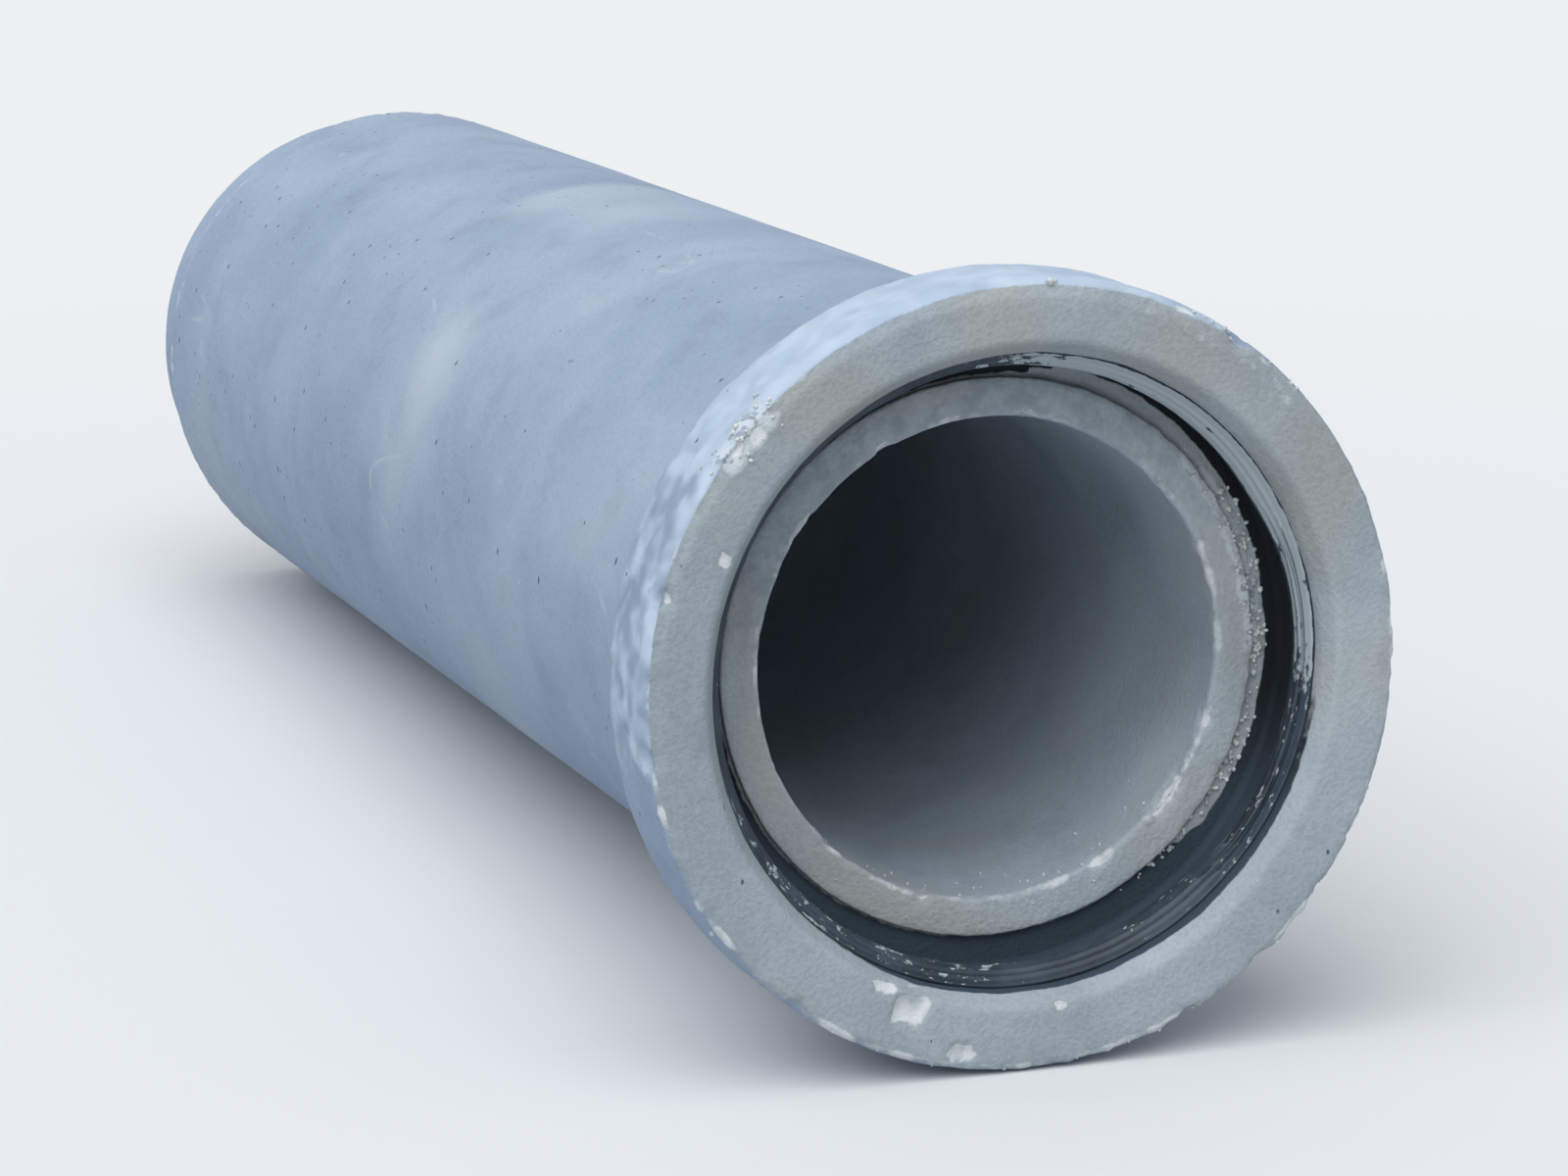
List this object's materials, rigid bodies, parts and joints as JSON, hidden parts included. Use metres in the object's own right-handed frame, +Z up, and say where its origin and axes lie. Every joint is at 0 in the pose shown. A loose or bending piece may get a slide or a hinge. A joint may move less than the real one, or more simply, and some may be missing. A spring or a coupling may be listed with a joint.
{
  "type": "concrete culvert pipe",
  "caption": "Straight concrete drain pipe with a bell and rubber-sealed socket at one end and a spigot at the other, lying on its side.",
  "frame": {"origin": "bottom centre of the part's box, on the floor that it lies on", "axes": "+Y along the pipe from the bell to the spigot, +Z up. The pipe lies on its bell's band and on the far edge of its barrel, so its own axis drops by about 1.5 degrees towards the spigot"},
  "size_m": [0.65, 2.0994, 0.6519],
  "materials": {
    "concrete": "matte",
    "rubber": "matte"
  },
  "bodies": {
    "root": {"concrete_pipe": "concrete", "rubber_seal": "rubber"}
  },
  "joints": []
}
